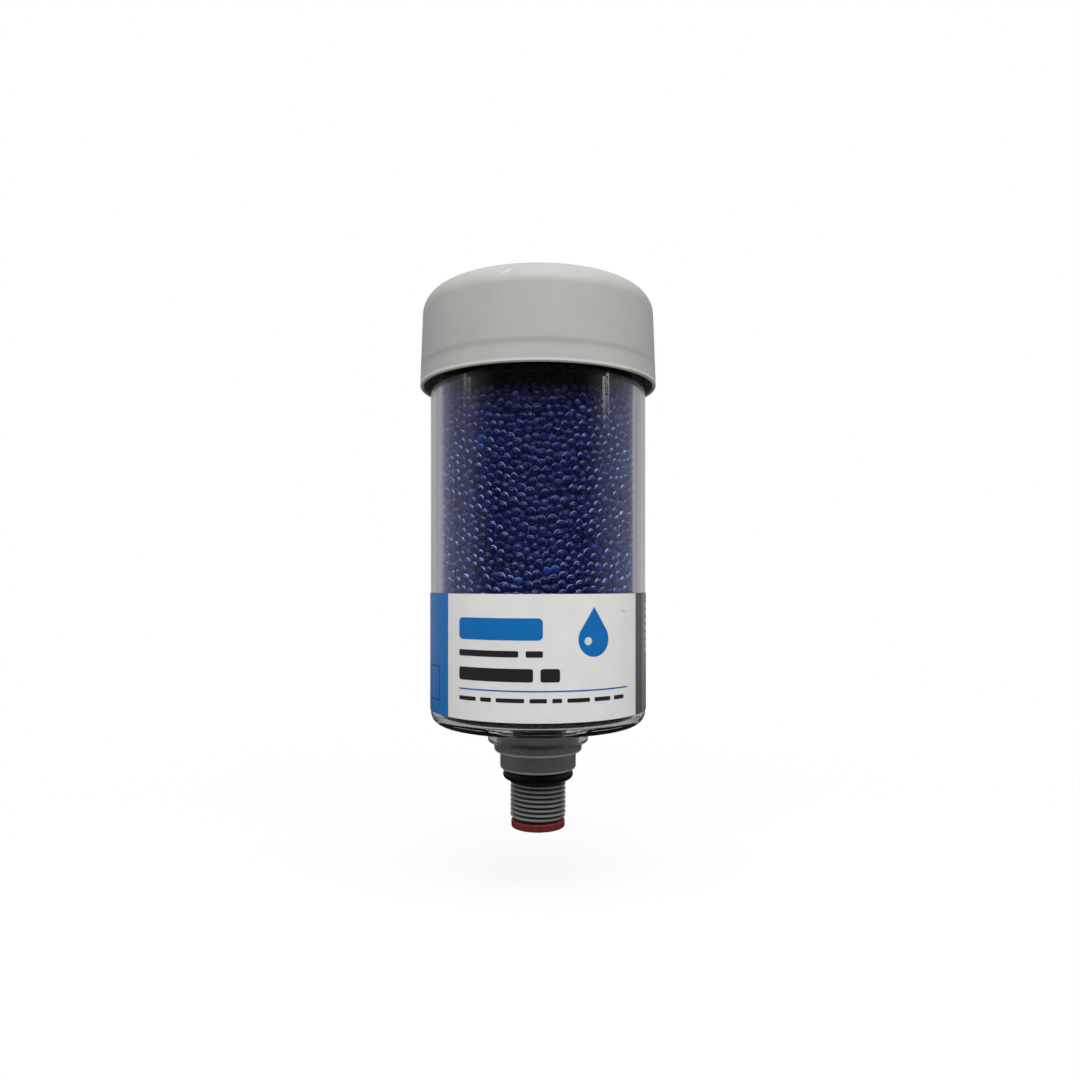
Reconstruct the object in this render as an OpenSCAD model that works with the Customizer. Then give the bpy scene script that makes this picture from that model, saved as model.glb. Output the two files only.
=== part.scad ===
// Silica gel breather: a clear cup of drying beads under a domed rain cap, on a threaded stem.
// The axis is Z, with Z = 0 at the top end of the thread, and -Y is the label's front.

/* [Housing] */
// Outside diameter of the clear cup
body_d = 98; // [90:1:102]
// Wall thickness of the clear cup
body_wall = 5; // [4:0.5:6]
// Height of the clear cup, from its underside to its rim
body_h = 176.6; // [150:0.2:200]
// Thickness of the cup's floor
floor_t = 4; // [3:0.1:5]
// Rounding of the cup's lower outside edge
base_round = 6; // [3:0.2:6.4]
// Rounding of the corner between floor and wall, inside
inner_round = 1.5; // [1:0.1:2]
// Diameter of the outlet through the floor
outlet_d = 26; // [20:1:30]

/* [Collar] */
// Outside diameter of the clear collar below the floor
collar_d = 46; // [44:0.5:56]
// Height of the clear collar
collar_h = 9; // [7:0.2:16]
// Rounding of the collar's lower edge
collar_round = 1.6; // [0.6:0.2:2]

/* [Stem] */
// Diameter of the spigot that is cemented into the collar
spigot_d = 38; // [34:0.5:39]
// Diameter of the step below the collar
step_d = 40.2; // [39.5:0.1:43]
// Height of the step below the collar
step_h = 4.2; // [3:0.1:8]
// Diameter of the sealing shoulder
shoulder_d = 34.8; // [33:0.1:38]
// Height of the sealing shoulder
shoulder_h = 8; // [4:0.1:10]
// Rounding of the lower edges of the step and the shoulder
step_round = 1.5; // [0.5:0.1:2]
// Outside diameter of the thread
thread_d = 25.4; // [25:0.1:27]
// Length of thread at full diameter
thread_len = 16.4; // [12:0.1:24]
// Chamfer at the tip of the stem
tip_chamfer = 1.5; // [0.5:0.1:2]
// Bore of the stem
bore_d = 17; // [15:0.5:18]
// Diameter of the wide mouth inside the spigot
mouth_d = 28; // [22:0.5:30]
// Thickness of the web between the wide mouth and the sealing shoulder's face
mouth_web = 6; // [4:0.5:10]

/* [O-ring] */
// Diameter of the groove's floor
groove_d = 22.8; // [21:0.1:23.4]
// Section diameter of the O-ring
oring_section = 4.6; // [4:0.1:5]

/* [Shipping plug] */
// Diameter of the plug's flange
plug_flange_d = 24.6; // [22:0.1:24.8]
// Thickness of the plug's flange
plug_flange_t = 3.5; // [2:0.1:5]
// Length of the plug's body in the bore
plug_len = 12; // [8:0.5:15]
// Narrowing of the plug's body on the radius, from flange to tip
plug_taper = 0.6; // [0.3:0.1:1]
// Wall thickness of the hollow plug
plug_wall = 1.5; // [1:0.1:2.5]
// Rounding of the flange's outer edges
plug_round = 0.7; // [0.3:0.1:0.9]

/* [Cap] */
// Width of the air inlet between the cup and the cap's lip
inlet_gap = 3.2; // [2.5:0.1:6]
// Draft of the cap's wall in degrees
cap_draft = 2.2; // [1:0.1:2.4]
// Height of the cap, from its lip to the middle of its dome
cap_h = 49.9; // [46:0.1:58]
// How far the lip hangs below the cup's rim
cap_overlap = 24.3; // [16:0.1:27]
// Radius of the dome
cap_dome_r = 141; // [120:1:200]
// Rounding of the shoulder between wall and dome
cap_corner_r = 10.3; // [7:0.1:12]
// Wall thickness of the cap
cap_wall = 1.6; // [1.2:0.1:2]
// Number of ribs that carry the cap
rib_count = 8; // [4:1:12]
// Thickness of a rib
rib_t = 2; // [1.2:0.1:3]
// Height of a rib above its seat
rib_rise = 7; // [5:0.5:9]
// Distance from the lip to the lower end of a rib
rib_setback = 8; // [5:0.5:12]

/* [Top retainer] */
// Thickness of the flange that lies on the cup's rim
flange_t = 2; // [1.5:0.1:3]
// Distance of the flange's edge from the outside of the cup
flange_setback = 0.8; // [0.4:0.1:2]
// Depth of the basket below the cup's rim
basket_depth = 14; // [10:0.5:20]
// Wall thickness of the basket
basket_wall = 2; // [1.5:0.1:3]
// Thickness of the grid
grid_t = 2.5; // [1.5:0.1:4]
// Diameter of the grid's holes
grid_hole_d = 8; // [5:0.5:9]
// Number of rings of holes
grid_rings = 3; // [2:1:4]

/* [Filters and pads] */
// Thickness of the upper particle filter
top_filter_t = 5.6; // [3:0.1:8]
// Thickness of the upper foam pad
top_foam_t = 11; // [8:0.5:16]
// Thickness of the lower particle filter
low_filter_t = 3; // [2:0.1:6]
// Thickness of the lower foam pad
low_foam_t = 10; // [6:0.5:16]

/* [Silica gel] */
// Diameter of a bead
bead_d = 4.3; // [4.1:0.1:6]
// How far the beads at the wall stand out of the bed, as a share of their diameter
bead_relief = 0.3; // [0.15:0.05:0.4]
// How far a bead strays from the regular pattern, as a share of its diameter
bead_stray = 0.12; // [0:0.01:0.15]

/* [Label] */
// Height of the wrap-around label
label_h = 52.3; // [40:0.1:60]
// Height of the label's lower edge above the cup's underside
label_rise = 7.1; // [6.5:0.1:20]
// Thickness of the label
label_t = 0.2; // [0.1:0.05:0.4]
// Angle that the label covers
label_span = 308; // [200:1:350]
// Angle from the front to the label's left end
label_left = 150; // [100:1:170]

/* [Clearances] */
// Gap of a cemented or laid-on face
glue_gap = 0.1; // [0.05:0.05:0.2]
// Gap of a pad, filter or basket inside the cup, on the radius
slip_gap = 0.3; // [0.2:0.05:0.5]
// Gap of the plug's body at the mouth of the bore, on the radius
plug_gap = 0.2; // [0.1:0.05:0.3]
// Gap between the plug's flange and the tip of the stem
flange_gap = 0.3; // [0.2:0.05:0.5]

/* [Hidden] */
$fn = 96;
// Overshoot of cuts past the faces that they open
over = 1;

// Radii
body_r = body_d / 2;
cup_r = body_r - body_wall;
pad_r = cup_r - slip_gap;
spigot_r = spigot_d / 2;
thread_r = thread_d / 2;
groove_r = groove_d / 2;
oring_r = oring_section / 2;
plug_r = bore_d / 2 - plug_gap;
cap_lip_r = body_r + inlet_gap + cap_wall;
// Half of the cap's wall, measured level: the radius of its half-round lip
lip_round = cap_wall / cos(cap_draft) / 2;
rib_clear_r = body_r + glue_gap;

// Heights, from the thread upwards
z_tip = -thread_len - tip_chamfer;
z_shoulder = oring_section + 4 * glue_gap;
z_step = z_shoulder + shoulder_h;
z_collar = z_step + step_h;
z_base = z_collar + collar_h;
z_floor = z_base + floor_t;
z_rim = z_base + body_h;
z_seat = z_rim + flange_t;
z_grid = z_rim - basket_depth;
z_top_foam = z_grid - top_filter_t - top_foam_t;
z_low_filter = z_floor + low_foam_t;
z_bed = z_low_filter + low_filter_t;
z_label = z_base + label_rise;
z_lip = z_rim - cap_overlap;
z_plug = z_tip - flange_gap;

// Half-section of a drum on the axis, with its lower edge rounded
module rounded_drum(r, z_low, z_high, edge) {
    translate([0, z_low]) square([r - edge, z_high - z_low]);
    translate([0, z_low + edge]) square([r, z_high - z_low - edge]);
    translate([r - edge, z_low + edge]) circle(edge);
}

// Half-section of a drum on the axis with square edges
module plain_drum(r, z_low, z_high) {
    translate([0, z_low]) square([r, z_high - z_low]);
}

// Half-section of a disc on the axis, with both its edges rounded
module rounded_disc(r, z_low, z_high, edge) {
    plain_drum(r - edge, z_low, z_high);
    plain_drum(r, z_low + edge, z_high - edge);
    for (z = [z_low + edge, z_high - edge])
        translate([r - edge, z]) circle(edge);
}

// Half-section of the solid that lies the given depth below the cap's outer surface,
// closed at the height z_low: a drafted wall, a rounded shoulder and a dome
module cap_section(depth, z_low) {
    outward = [cos(cap_draft), sin(cap_draft)];
    upward = [-sin(cap_draft), cos(cap_draft)];
    dome_c = [0, z_lip + cap_h - cap_dome_r];
    // The shoulder's centre lies on the wall's line moved in by its radius, where it meets the dome
    start = [cap_lip_r, z_lip] - cap_corner_r * outward;
    along = upward * (start - dome_c);
    reach = (start - dome_c) * (start - dome_c) - pow(cap_dome_r - cap_corner_r, 2);
    corner_c = start + (sqrt(along * along - reach) - along) * upward;
    to_corner = (corner_c - dome_c) / norm(corner_c - dome_c);
    dome_edge = dome_c + (cap_dome_r - depth) * to_corner;
    wall_top = corner_c + (cap_corner_r - depth) * outward;
    wall_low = wall_top + (z_low - wall_top.y) / upward.y * upward;
    polygon([[0, z_low], wall_low, wall_top, corner_c, dome_edge, [0, dome_edge.y]]);
    translate(corner_c) circle(cap_corner_r - depth);
    intersection() {
        translate(dome_c) circle(cap_dome_r - depth, $fn = 720);
        translate([0, dome_edge.y]) square([dome_edge.x, cap_h]);
    }
}

// Ribs inside the cap: each one grips the cup's outside and rests on the retainer's flange
module cap_ribs() {
    rib_in = cup_r;
    rib_out = cap_lip_r;
    intersection() {
        for (i = [0 : rib_count - 1])
            rotate([90, 0, (i + 0.5) * 360 / rib_count])
                translate([0, 0, -rib_t / 2])
                    linear_extrude(rib_t)
                        polygon([[rib_clear_r, z_lip + rib_setback], [rib_out, z_lip + rib_setback],
                                 [rib_out, z_seat + rib_rise], [rib_in, z_seat + rib_rise],
                                 [rib_in, z_seat], [rib_clear_r, z_seat]]);
        rotate_extrude() cap_section(cap_wall / 2, z_lip);
    }
}

// Half-round lower edge of the cap's wall
module cap_lip() {
    translate([cap_lip_r - lip_round * (1 + tan(cap_draft)), z_lip + lip_round]) intersection() {
        circle(lip_round);
        translate([-lip_round, -lip_round]) square([2 * lip_round, lip_round]);
    }
}

module cap() {
    color("silver") {
        rotate_extrude() {
            difference() {
                cap_section(0, z_lip + lip_round);
                cap_section(cap_wall, z_lip);
            }
            cap_lip();
        }
        cap_ribs();
    }
}

module housing() {
    color([0.85, 0.88, 0.9, 0.35]) rotate_extrude() difference() {
        union() {
            rounded_drum(body_r, z_base, z_rim, base_round);
            rounded_drum(collar_d / 2, z_collar, z_floor, collar_round);
        }
        rounded_drum(cup_r, z_floor, z_rim + over, inner_round);
        plain_drum(spigot_r + glue_gap, z_collar - over, z_base);
        plain_drum(outlet_d / 2, z_base - over, z_floor + over);
    }
}

// One ring of grid holes, or the single hole in the middle for ring 0
module grid_ring(ring, pitch) {
    holes = max(1, 6 * ring);
    for (i = [0 : holes - 1])
        rotate([0, 0, i * 360 / holes])
            translate([ring * pitch, 0, z_grid - over])
                cylinder(d = grid_hole_d, h = grid_t + 2 * over);
}

module top_retainer() {
    basket_r = pad_r - basket_wall;
    color("dimgray") difference() {
        rotate_extrude() difference() {
            union() {
                plain_drum(pad_r, z_grid, z_seat);
                plain_drum(body_r - flange_setback, z_rim, z_seat);
            }
            plain_drum(basket_r, z_grid + grid_t, z_seat + over);
        }
        for (ring = [0 : grid_rings])
            grid_ring(ring, (basket_r - grid_hole_d / 2) / (grid_rings + 0.3));
    }
}

// Disc of felt or foam inside the cup
module pad(z_low, thickness) {
    translate([0, 0, z_low]) cylinder(r = pad_r, h = thickness);
}

module top_filter() {
    color("ivory") pad(z_grid - top_filter_t, top_filter_t);
}

module top_foam() {
    color([0.1, 0.1, 0.11]) pad(z_top_foam, top_foam_t);
}

module lower_filter() {
    color("ivory") pad(z_low_filter, low_filter_t);
}

// The lower pad's edge clears the rounded corner of the cup
module lower_foam() {
    color([0.1, 0.1, 0.11]) rotate_extrude()
        rounded_drum(pad_r, z_floor, z_low_filter, inner_round);
}

// Bed of beads as one solid: a hexagonal pattern of peaks on its side wherever the label leaves it
// in view, with valleys on the zigzag lines between the rows, and a plain side behind the label
module silica_gel() {
    around = round(2 * PI * pad_r / bead_d);
    pitch = 2 * PI * pad_r / around;
    row_h = pitch * sqrt(3) / 2;
    z_view = z_label + label_h - bead_d;
    rows = floor((z_top_foam - z_view) / row_h);
    z_first = z_top_foam - (rows - 0.5) * row_h;
    valley_r = pad_r - bead_relief * bead_d;
    stray = rands(-bead_stray, bead_stray, 2 * rows * around, 7);
    step = 180 / around;
    function on_wall(r, a, z) = [r * cos(a), r * sin(a), z];
    // Bead i of a row sits at every second step, shifted by one step in odd rows
    peaks = [for (row = [0 : rows - 1], i = [0 : around - 1])
        let (k = 2 * (row * around + i))
        on_wall(pad_r, (2 * i + row % 2 + 2 * stray[k]) * step, z_first + row * row_h + stray[k + 1] * pitch)];
    // Zigzag line below each row, and one above the last
    valleys = [for (line = [0 : rows], i = [0 : 2 * around - 1])
        let (under_bead = (i + line) % 2 == 0)
        on_wall(valley_r, i * step, z_first + line * row_h - pitch / sqrt(3) * (under_bead ? 1 : 0.5))];
    bottom = [for (i = [0 : 2 * around - 1]) on_wall(valley_r, i * step, z_bed)];
    top = [for (i = [0 : 2 * around - 1]) on_wall(valley_r, i * step, z_top_foam)];
    peak_count = len(peaks);
    ring = 2 * around;
    bottom_start = peak_count + len(valleys);
    top_start = bottom_start + ring;
    function valley(line, i) = peak_count + line * ring + (i + ring) % ring;
    function band(low, high) = [for (i = [0 : ring - 1]) let (j = (i + 1) % ring)
        each [[low + i, high + i, low + j], [low + j, high + i, high + j]]];
    beads = [for (row = [0 : rows - 1], i = [0 : around - 1])
        let (m = 2 * i + row % 2,
             hexagon = [valley(row, m - 1), valley(row + 1, m - 1), valley(row + 1, m),
                        valley(row + 1, m + 1), valley(row, m + 1), valley(row, m)])
        for (e = [0 : 5]) [row * around + i, hexagon[e], hexagon[(e + 1) % 6]]];
    color([0.1, 0.13, 0.4]) polyhedron(
        concat(peaks, valleys, bottom, top),
        concat(beads,
               band(bottom_start, valley(0, 0)),
               band(valley(rows, 0), top_start),
               [[for (i = [0 : ring - 1]) bottom_start + i]],
               [[for (i = [ring - 1 : -1 : 0]) top_start + i]]));
}

module stem() {
    color("gray") rotate_extrude() difference() {
        union() {
            plain_drum(spigot_r, z_step, z_base - glue_gap);
            rounded_drum(step_d / 2, z_step, z_collar, step_round);
            rounded_drum(shoulder_d / 2, z_shoulder, z_step, step_round);
            plain_drum(groove_r, -over, z_shoulder + over);
            polygon([[0, z_tip], [thread_r - tip_chamfer, z_tip], [thread_r, -thread_len], [thread_r, 0], [0, 0]]);
        }
        plain_drum(bore_d / 2, z_tip - over, z_base);
        plain_drum(mouth_d / 2, z_shoulder + mouth_web, z_base);
    }
}

// The O-ring lies on the groove's floor, against the sealing shoulder
module o_ring() {
    color([0.06, 0.06, 0.07]) translate([0, 0, z_shoulder - oring_r - glue_gap])
        rotate_extrude() translate([groove_r + oring_r + glue_gap, 0]) circle(oring_r);
}

// Hollow tapered plug with a flange, open at its lower end
module shipping_plug() {
    tip_r = plug_r - plug_taper;
    z_top = z_plug + plug_len;
    z_low = z_plug - plug_flange_t;
    color("firebrick") rotate_extrude() difference() {
        union() {
            rounded_disc(plug_flange_d / 2, z_low, z_plug, plug_round);
            polygon([[0, z_low], [plug_r, z_low], [plug_r, z_plug], [tip_r, z_top], [0, z_top]]);
        }
        polygon([[0, z_low - over], [plug_r - plug_wall, z_low - over], [plug_r - plug_wall, z_plug],
                 [tip_r - plug_wall, z_top - plug_wall], [0, z_top - plug_wall]]);
    }
}

module label() {
    color("white") rotate([0, 0, -90 - label_left]) rotate_extrude(angle = label_span)
        translate([body_r + glue_gap, z_label]) square([label_t, label_h]);
}

cap();
housing();
top_retainer();
top_filter();
top_foam();
silica_gel();
lower_filter();
lower_foam();
stem();
o_ring();
shipping_plug();
label();
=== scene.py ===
"""Looks of the silica gel breather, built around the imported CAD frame. Lengths are metres."""
import math

import bmesh
import bpy
import numpy as np
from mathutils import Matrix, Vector


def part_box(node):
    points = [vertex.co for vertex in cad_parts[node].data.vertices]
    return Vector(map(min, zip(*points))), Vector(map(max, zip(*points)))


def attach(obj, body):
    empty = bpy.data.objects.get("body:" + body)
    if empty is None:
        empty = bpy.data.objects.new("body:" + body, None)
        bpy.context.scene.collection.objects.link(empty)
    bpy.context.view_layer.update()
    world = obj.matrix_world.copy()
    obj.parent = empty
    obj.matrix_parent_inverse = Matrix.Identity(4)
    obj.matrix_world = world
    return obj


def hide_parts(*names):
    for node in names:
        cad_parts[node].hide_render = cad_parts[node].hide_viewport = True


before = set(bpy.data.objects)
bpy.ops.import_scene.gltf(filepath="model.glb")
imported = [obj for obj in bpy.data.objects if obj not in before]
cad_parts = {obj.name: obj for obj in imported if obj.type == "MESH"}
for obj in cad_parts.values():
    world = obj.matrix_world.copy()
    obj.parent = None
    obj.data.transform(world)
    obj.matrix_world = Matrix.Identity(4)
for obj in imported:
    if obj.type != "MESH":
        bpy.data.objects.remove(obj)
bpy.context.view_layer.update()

MM = 0.001
BODY = "breather"
# Edges that bend more than this look sharp
SHARP_DEG = 35.0
THREAD_SHARP_DEG = 40.0
NEVER_SHARP_DEG = 180.0

# Sizes of the turned pieces
BODY_R = 49.0 * MM
CUP_R = 44.0 * MM
BASE_ROUND = 6.0 * MM
INNER_ROUND = 1.5 * MM
COLLAR_R = 23.0 * MM
COLLAR_ROUND = 1.6 * MM
SOCKET_R = 19.1 * MM
OUTLET_R = 13.0 * MM
FLOOR_T = 4.0 * MM
COLLAR_H = 9.0 * MM
PAD_R = 43.7 * MM
LABEL_R = 49.1 * MM
LABEL_T = 0.2 * MM
SPIGOT_R = 19.0 * MM
STEP_R = 20.1 * MM
SHOULDER_R = 17.4 * MM
SHOULDER_Z = 5.0 * MM
SHOULDER_H = 8.0 * MM
STEP_ROUND = 1.5 * MM
GROOVE_R = 11.4 * MM
BORE_R = 8.5 * MM
MOUTH_R = 14.0 * MM
MOUTH_WEB = 6.0 * MM
# Close rings after a rounding keep the shading of a straight wall straight
RING_GAP = 0.2 * MM

# Thread of 1 inch and 12 turns to the inch
THREAD_R = 12.7 * MM
THREAD_PITCH = 25.4 * MM / 12
THREAD_DEPTH = 0.61 * THREAD_PITCH
TIP_CHAMFER = 1.5 * MM
# Shares of half a pitch that its root and its flank take, and the rise of the rounded root
THREAD_ROOT = 0.2
THREAD_FLANK = 0.62
THREAD_ROOT_RISE = 0.06
# Slope of its runout, and the height at which that would meet the groove
RUNOUT_SLOPE = 1.2
RUNOUT_END = 0.6 * MM

# Heights, taken from the frame
Z_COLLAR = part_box("housing")[0].z
Z_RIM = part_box("housing")[1].z
Z_BASE = Z_COLLAR + COLLAR_H
Z_FLOOR = Z_BASE + FLOOR_T
Z_BED_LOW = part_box("silica_gel")[0].z
Z_BED_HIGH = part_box("silica_gel")[1].z
Z_LABEL_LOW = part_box("label")[0].z
Z_LABEL_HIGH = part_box("label")[1].z
Z_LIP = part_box("cap")[0].z
Z_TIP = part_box("stem")[0].z
Z_SPIGOT_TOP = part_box("stem")[1].z
Z_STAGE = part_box("shipping_plug")[0].z

# Label fields, as angles from the front, positive to the right
LABEL_LEFT = -150.0
WHITE_LEFT = -50.6
WHITE_RIGHT = 58.4
LABEL_RIGHT = 158.0
INK_T = 0.04 * MM

# Camera fitted to the photograph of 1080 x 1080 pixels
PHOTO_PX = 1080
FOCAL_PX = 864.3
AXIS_PX = 538.0
HORIZON_PX = 581.3
CAMERA_DISTANCE = 398.1 * MM
CAMERA_Z = 90.75 * MM
SENSOR_MM = 36.0


def add_mesh(name, verts, faces, material, slot, replaced, sharp_deg=SHARP_DEG):
    """New smooth-shaded piece that rides on the breather and stands for CAD nodes."""
    faces = np.asarray(faces, np.int32)
    count, corners = faces.shape
    mesh = bpy.data.meshes.new(name)
    mesh.vertices.add(len(verts))
    mesh.vertices.foreach_set("co", np.asarray(verts, np.float32).ravel())
    mesh.loops.add(count * corners)
    mesh.loops.foreach_set("vertex_index", faces.ravel())
    mesh.polygons.add(count)
    mesh.polygons.foreach_set("loop_start", np.arange(0, count * corners, corners, dtype=np.int32))
    mesh.update(calc_edges=True)
    mesh.validate()
    mesh.shade_smooth()
    if sharp_deg < NEVER_SHARP_DEG:
        mesh.set_sharp_from_angle(angle=math.radians(sharp_deg))
    mesh.materials.append(material)
    piece = bpy.data.objects.new(name, mesh)
    bpy.context.scene.collection.objects.link(piece)
    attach(piece, BODY)
    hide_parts(*replaced)
    return piece


def arc(centre_r, centre_z, radius, start_deg, end_deg, steps=10):
    """Points of a circular arc in a half-section."""
    angles = np.radians(np.linspace(start_deg, end_deg, steps + 1))
    return [(centre_r + radius * math.cos(a), centre_z + radius * math.sin(a)) for a in angles]


def ring_faces(rows, columns):
    """Quads of a grid that closes on itself round the axis and along the rows."""
    i = np.arange(rows)[:, None]
    k = np.arange(columns)[None, :]
    j = (i + 1) % rows
    m = (k + 1) % columns
    corners = [i * columns + k, i * columns + m, j * columns + m, j * columns + k]
    return np.stack(corners, axis=-1).reshape(-1, 4)


def lathe(profile, segments):
    """Vertices and faces of a closed half-section turned about Z. It runs anticlockwise in (r, z)."""
    radius, height = np.asarray(profile).T
    angles = np.linspace(0, 2 * math.pi, segments, endpoint=False)
    x = np.outer(radius, np.cos(angles))
    y = np.outer(radius, np.sin(angles))
    z = np.repeat(height[:, None], segments, axis=1)
    return np.stack([x, y, z], axis=-1).reshape(-1, 3), ring_faces(len(radius), segments)


# Materials

# Most of a noise lies between these values
NOISE_RANGE = (0.3, 0.7)
# Painted highlight along the cap's lip, the shallow line round its skirt, and a pale streak on its shoulder
# painted as a highlight
CAP_LIP_HIGHLIGHT = 2.2 * MM
CAP_LIP_HIGHLIGHT_FULL = 0.8 * MM
CAP_LINE = 7.4 * MM
CAP_LINE_FADE = 3.0 * MM
CAP_LINE_LOW = 1.0 * MM
CAP_LINE_DEPTH = 0.24 * MM
CAP_SHOULDER_HIGHLIGHT = (-12.8 * MM, -46.0 * MM, 215.8 * MM)
CAP_SHOULDER_HIGHLIGHT_HALF = (5.0 * MM, 12.0 * MM, 0.9 * MM)
CAP_SHOULDER_HIGHLIGHT_TURN = -24.0
# Rubbed marks on the label: place and half-sizes
LABEL_RUBBED = (36.3 * MM, -33.4 * MM, 77.8 * MM)
LABEL_RUBBED_HALF = (5.0 * MM, 5.0 * MM, 7.0 * MM)


def new_material(name, colour, roughness, **sockets):
    """Principled material with constant values on its own sockets."""
    material = bpy.data.materials.new(name)
    material.use_nodes = True
    shader = material.node_tree.nodes["Principled BSDF"]
    shader.inputs["Base Color"].default_value = (*colour, 1.0)
    shader.inputs["Roughness"].default_value = roughness
    for socket, value in sockets.items():
        shader.inputs[socket.replace("_", " ")].default_value = value
    return material, material.node_tree, shader


def object_noise(tree, scale, detail, roughness=0.5):
    """Noise in the object's own coordinates. The scale may differ along the axes."""
    coordinates = tree.nodes.new("ShaderNodeTexCoord")
    mapping = tree.nodes.new("ShaderNodeMapping")
    mapping.inputs["Scale"].default_value = scale if isinstance(scale, tuple) else (scale,) * 3
    noise = tree.nodes.new("ShaderNodeTexNoise")
    noise.inputs["Scale"].default_value = 1.0
    noise.inputs["Detail"].default_value = detail
    noise.inputs["Roughness"].default_value = roughness
    tree.links.new(coordinates.outputs["Object"], mapping.inputs["Vector"])
    tree.links.new(mapping.outputs["Vector"], noise.inputs["Vector"])
    return noise.outputs["Fac"]


def ramp(tree, value, low, high):
    """Colour ramp between two colours, fed by a noise."""
    node = tree.nodes.new("ShaderNodeValToRGB")
    for element, position, colour in zip(node.color_ramp.elements, NOISE_RANGE, (low, high)):
        element.position = position
        element.color = (*colour, 1.0)
    tree.links.new(value, node.inputs["Fac"])
    return node.outputs["Color"]


def spread(tree, value, low, high):
    """Maps a value from 0..1 to low..high."""
    node = tree.nodes.new("ShaderNodeMapRange")
    node.inputs["To Min"].default_value = low
    node.inputs["To Max"].default_value = high
    tree.links.new(value, node.inputs["Value"])
    return node.outputs["Result"]


def level(tree, value, start, end):
    """Smooth step of a value: 0 at start and 1 at end, which may lie lower."""
    node = tree.nodes.new("ShaderNodeMapRange")
    node.interpolation_type = "SMOOTHSTEP"
    low, high = sorted((start, end))
    node.inputs["From Min"].default_value = low
    node.inputs["From Max"].default_value = high
    node.inputs["To Min"].default_value = 0.0 if start < end else 1.0
    node.inputs["To Max"].default_value = 1.0 if start < end else 0.0
    tree.links.new(value, node.inputs["Value"])
    return node.outputs["Result"]


def own_part(tree, kind, axis):
    """One part of the object's own coordinates ("Object") or of its own normal ("Normal")."""
    source = tree.nodes.new("ShaderNodeTexCoord")
    parts = tree.nodes.new("ShaderNodeSeparateXYZ")
    tree.links.new(source.outputs[kind], parts.inputs[0])
    return parts.outputs[axis]


def vector_math(tree, operation, first, second=None):
    """Vector node with one linked vector, and a second that is linked or constant."""
    node = tree.nodes.new("ShaderNodeVectorMath")
    node.operation = operation
    tree.links.new(first, node.inputs[0])
    if isinstance(second, tuple):
        node.inputs[1].default_value = second
    elif second is not None:
        tree.links.new(second, node.inputs[1])
    return node


def from_axis(tree):
    """Vector from the object's axis to a point, square to the axis."""
    source = tree.nodes.new("ShaderNodeTexCoord")
    return vector_math(tree, "MULTIPLY", source.outputs["Object"], (1.0, 1.0, 0.0)).outputs["Vector"]


def axis_distance(tree):
    """Distance of a point from the object's axis."""
    return vector_math(tree, "LENGTH", from_axis(tree)).outputs["Value"]


def outward_share(tree):
    """How squarely a surface faces away from the object's axis: 1 straight outwards, 0 across."""
    source = tree.nodes.new("ShaderNodeTexCoord")
    outward = vector_math(tree, "NORMALIZE", from_axis(tree)).outputs["Vector"]
    return vector_math(tree, "DOT_PRODUCT", source.outputs["Normal"], outward).outputs["Value"]


def join(tree, operation, first, second=None):
    """One value or two, put through a Math node's operation."""
    node = tree.nodes.new("ShaderNodeMath")
    node.operation = operation
    tree.links.new(first, node.inputs[0])
    if second is not None:
        tree.links.new(second, node.inputs[1])
    return node.outputs[0]


def multiply(tree, first, second):
    """Product of two values."""
    return join(tree, "MULTIPLY", first, second)


def blend(tree, share, base, other, mode="MIX"):
    """Lays one more colour over a colour output by a share from 0 to 1."""
    node = tree.nodes.new("ShaderNodeMix")
    node.data_type = "RGBA"
    node.blend_type = mode
    tree.links.new(share, node.inputs["Factor"])
    tree.links.new(base, node.inputs["A"])
    node.inputs["B"].default_value = (*other, 1.0)
    return node.outputs["Result"]


def patch(tree, centre, size, turn_deg=0.0):
    """Soft mask round a point of the object: 1 at the centre, 0 outside an ellipsoid of half-sizes."""
    coordinates = tree.nodes.new("ShaderNodeTexCoord")
    mapping = tree.nodes.new("ShaderNodeMapping")
    mapping.vector_type = "TEXTURE"
    mapping.inputs["Location"].default_value = centre
    mapping.inputs["Rotation"].default_value = (0.0, math.radians(turn_deg), 0.0)
    mapping.inputs["Scale"].default_value = size
    sphere = tree.nodes.new("ShaderNodeTexGradient")
    sphere.gradient_type = "QUADRATIC_SPHERE"
    tree.links.new(coordinates.outputs["Object"], mapping.inputs["Vector"])
    tree.links.new(mapping.outputs["Vector"], sphere.inputs["Vector"])
    return sphere.outputs["Fac"]


def add_bump(tree, shader, height, strength, distance, under=None):
    """Bump on the shader's normal from a height value, which may lie on top of another bump."""
    node = tree.nodes.new("ShaderNodeBump")
    node.inputs["Strength"].default_value = strength
    node.inputs["Distance"].default_value = distance
    tree.links.new(height, node.inputs["Height"])
    if under is not None:
        tree.links.new(under.outputs["Normal"], node.inputs["Normal"])
    tree.links.new(node.outputs["Normal"], shader.inputs["Normal"])
    return node


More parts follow.
